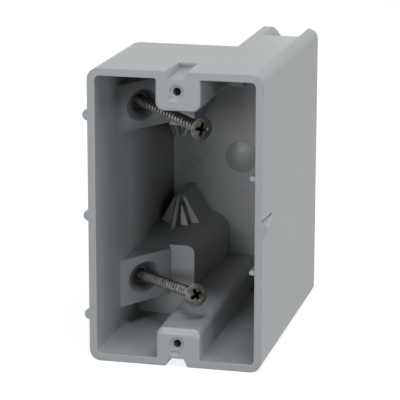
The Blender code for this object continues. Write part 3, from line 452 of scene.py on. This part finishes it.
def shank():
    """The shank: one turn of the thread's profile, spun along a helix and drawn in to the point."""
    turns = int((SCREW_LENGTH - SHANK_START) / PITCH) - 1
    made = spun([(radius, share * PITCH) for radius, share in THREAD_PROFILE], 2 * math.pi * turns,
                THREAD_STEPS * turns, rise=PITCH / THREAD_STEPS)
    top = max(v.co.z for v in made.verts)
    bmesh.ops.translate(made, vec=(0, 0, -top - SHANK_START), verts=made.verts)
    taper = TIP_LENGTH - SCREW_LENGTH
    for vert in made.verts:
        if vert.co.z < taper:
            share = min(1.0, (taper - vert.co.z) / TIP_LENGTH)
            vert.co.x *= 1 - TIP_LOSS * share
            vert.co.y *= 1 - TIP_LOSS * share
    for point in (Vector((0, 0, -SHANK_START)), Vector((0, 0, -SCREW_LENGTH))):
        rim = [e for e in made.edges if e.is_boundary and (e.verts[0].co - point).length < SCREW_LENGTH / 2]
        grown = bmesh.ops.extrude_edge_only(made, edges=rim)
        bmesh.ops.pointmerge(made, verts=[v for v in grown["geom"] if isinstance(v, bmesh.types.BMVert)],
                             merge_co=point)
    bmesh.ops.recalc_face_normals(made, faces=made.faces)
    return made


def head():
    """Flat countersunk head, turned from its half section."""
    made = spun(HEAD_SECTION, 2 * math.pi, HEAD_SIDES, merge=True)
    bmesh.ops.recalc_face_normals(made, faces=made.faces)
    return made


def cross_arm(angle):
    """One wing of the cross recess, narrowing towards its floor."""
    made = block((CROSS_SPAN, CROSS_WIDTH, CROSS_DEPTH))
    bmesh.ops.scale(made, vec=CROSS_FLOOR, verts=[v for v in made.verts if v.co.z < 0])
    ends = [e for e in made.edges if abs(e.verts[0].co.z - e.verts[1].co.z) > CROSS_DEPTH / 2]
    rounded(made, ends, CROSS_CORNER, 2)
    bmesh.ops.translate(made, vec=(0, 0, CROSS_ABOVE - CROSS_DEPTH / 2), verts=made.verts)
    turned(made, angle)
    return made


def cross_heart():
    """The wider middle of the cross recess, where its wings flare together."""
    made = bmesh.new()
    bmesh.ops.create_cone(made, cap_ends=True, segments=HEART_SIDES, radius1=HEART_FLOOR,
                          radius2=HEART_RADIUS, depth=HEART_LENGTH)
    turned(made, 180.0 / HEART_SIDES)
    bmesh.ops.translate(made, vec=(0, 0, HEART_MIDDLE), verts=made.verts)
    return made


def mounting_screw(name, head_place, axis, turn, material):
    """A screw made along Z with its face at the origin, then set in its place."""
    item = to_object(head(), "mounting_screw_%s_detail" % name, material)
    cutters = [cross_arm(0.0), cross_arm(90.0), cross_heart()]
    steps = [(to_object(cutter, "cross", material), "DIFFERENCE") for cutter in cutters]
    steps.append((to_object(shank(), "shank", material), "UNION"))
    combine(item, steps)
    # How deep each point lies in the cross recess, for its painted shade
    recess = item.data.attributes.new("recess", "FLOAT", "POINT")
    for vert, depth in zip(item.data.vertices, recess.data):
        if vert.co.xy.length < RECESS_SHADE_RADIUS and vert.co.z > RECESS_SHADE_FLOOR:
            depth.value = max(0.0, -vert.co.z / CROSS_DEPTH)

    axis = axis.normalized()
    up = (Vector((0, 0, 1)) - axis * axis.z).normalized()
    right = up.cross(axis)
    frame_turn = Matrix((right, up, axis)).transposed().to_4x4()
    spin = Matrix.Rotation(math.radians(turn), 4, "Z")
    item.data.transform(Matrix.Translation(head_place + CORNER) @ frame_turn @ spin)
    smooth(item, SCREW_SHARP)
    return item


pvc = rigid_pvc()
steel = plated_steel()
skin = moulding_skin(pvc)
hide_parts("box_body")
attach(skin, "root")
for name, (head_place, axis, turn) in SCREWS.items():
    screw = mounting_screw(name, head_place, axis, turn, steel)
    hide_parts("mounting_screw_" + name)
    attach(screw, "root")


def seen_directly(tree):
    """1 for rays from the camera, from mirror-like surfaces and through glass."""
    path = add(tree, "ShaderNodeLightPath")
    first = add(tree, "ShaderNodeMath", {0: path.outputs["Is Camera Ray"], 1: path.outputs["Is Glossy Ray"]},
                operation="MAXIMUM")
    return add(tree, "ShaderNodeMath", {0: first.outputs[0], 1: path.outputs["Is Transmission Ray"]},
               operation="MAXIMUM").outputs[0]


def studio_floor():
    """A pale floor that reads as white and keeps a soft shadow of the object."""
    made = bmesh.new()
    bmesh.ops.create_grid(made, x_segments=1, y_segments=1, size=FLOOR_SIZE)
    bmesh.ops.translate(made, vec=(0, 0, -FLOOR_DROP), verts=made.verts)
    paint = empty_material("pale_floor")
    tree = paint.node_tree
    matt = add(tree, "ShaderNodeBsdfDiffuse", {"Color": linear(FLOOR_COLOUR)})
    strength = add(tree, "ShaderNodeMath", {0: seen_directly(tree), 1: FLOOR_GLOW}, operation="MULTIPLY")
    glow = add(tree, "ShaderNodeEmission", {"Color": (1, 1, 1, 1), "Strength": strength.outputs[0]})
    both = add(tree, "ShaderNodeAddShader", {0: matt.outputs[0], 1: glow.outputs[0]})
    add(tree, "ShaderNodeOutputMaterial", {"Surface": both.outputs[0]})
    return to_object(made, "studio_floor", paint)


def studio_world():
    """White surroundings that are seen and mirrored, and that light nothing."""
    world = bpy.data.worlds.new("studio")
    world.use_nodes = True
    tree = world.node_tree
    tree.nodes.clear()
    back = add(tree, "ShaderNodeBackground", {"Color": (1, 1, 1, 1), "Strength": seen_directly(tree)})
    add(tree, "ShaderNodeOutputWorld", {"Surface": back.outputs[0]})
    bpy.context.scene.world = world


def soft_light(name, azimuth, elevation, power, colour="#ffffff", lift=0.0, height=LIGHT_SIZE, glossy=True):
    """A softbox that faces the object. Azimuth 0 is in front of the open face, 90 on the right. One that
    isn't glossy leaves no glare on the top of the box when that is seen from behind."""
    turn, rise = math.radians(azimuth), math.radians(elevation)
    away = Vector((math.sin(turn) * math.cos(rise), -math.cos(turn) * math.cos(rise), math.sin(rise)))
    data = bpy.data.lights.new(name, "AREA")
    data.shape = "RECTANGLE"
    data.size = LIGHT_SIZE
    data.size_y = height
    data.energy = power
    data.color = linear(colour)[:3]
    lamp = bpy.data.objects.new(name, data)
    lamp.location = MIDDLE + away * LIGHT_DISTANCE + Vector((0, 0, lift))
    lamp.rotation_euler = (MIDDLE - lamp.location).to_track_quat("-Z", "Y").to_euler()
    lamp.visible_glossy = glossy
    bpy.context.scene.collection.objects.link(lamp)


def camera():
    data = bpy.data.cameras.new("photo_view")
    data.sensor_width = CAMERA_SENSOR
    data.lens = CAMERA_LENS
    data.clip_start, data.clip_end = CAMERA_CLIP
    item = bpy.data.objects.new("photo_view", data)
    turn = CAMERA_LOOK.to_track_quat("-Z", "Y").to_matrix().to_4x4()
    item.matrix_world = Matrix.Translation(CAMERA_PLACE) @ turn @ Matrix.Rotation(CAMERA_ROLL, 4, "Z")
    bpy.context.scene.collection.objects.link(item)
    bpy.context.scene.camera = item


studio_floor()
studio_world()
soft_light("front_softbox", 0, 0, 1.5, "#f2ffff", lift=LIGHT_LIFT)
soft_light("front_left_softbox", -15, 0, 4.7, "#fffcff", lift=LIGHT_LIFT)
soft_light("front_right_softbox", 45, 0, 4.5, "#f8ffff", lift=LIGHT_LIFT, glossy=False)
soft_light("low_right_softbox", 75, 0, 2.4, lift=LIGHT_LIFT)
soft_light("front_overhead_softbox", 20, 65, 6.1, "#f5ffff")
soft_light("left_overhead_softbox", -35, 55, 2.2)
soft_light("right_overhead_softbox", 75, 65, 6.2)
soft_light("rear_left_softbox", 250, 20, 5.5)
# A low strip, under the level of the box's top, so that it lights the back and leaves no glare on the top
soft_light("rear_strip", 190, 0, 5.0, height=STRIP_HEIGHT)
camera()
bpy.context.scene.view_settings.view_transform = "Standard"
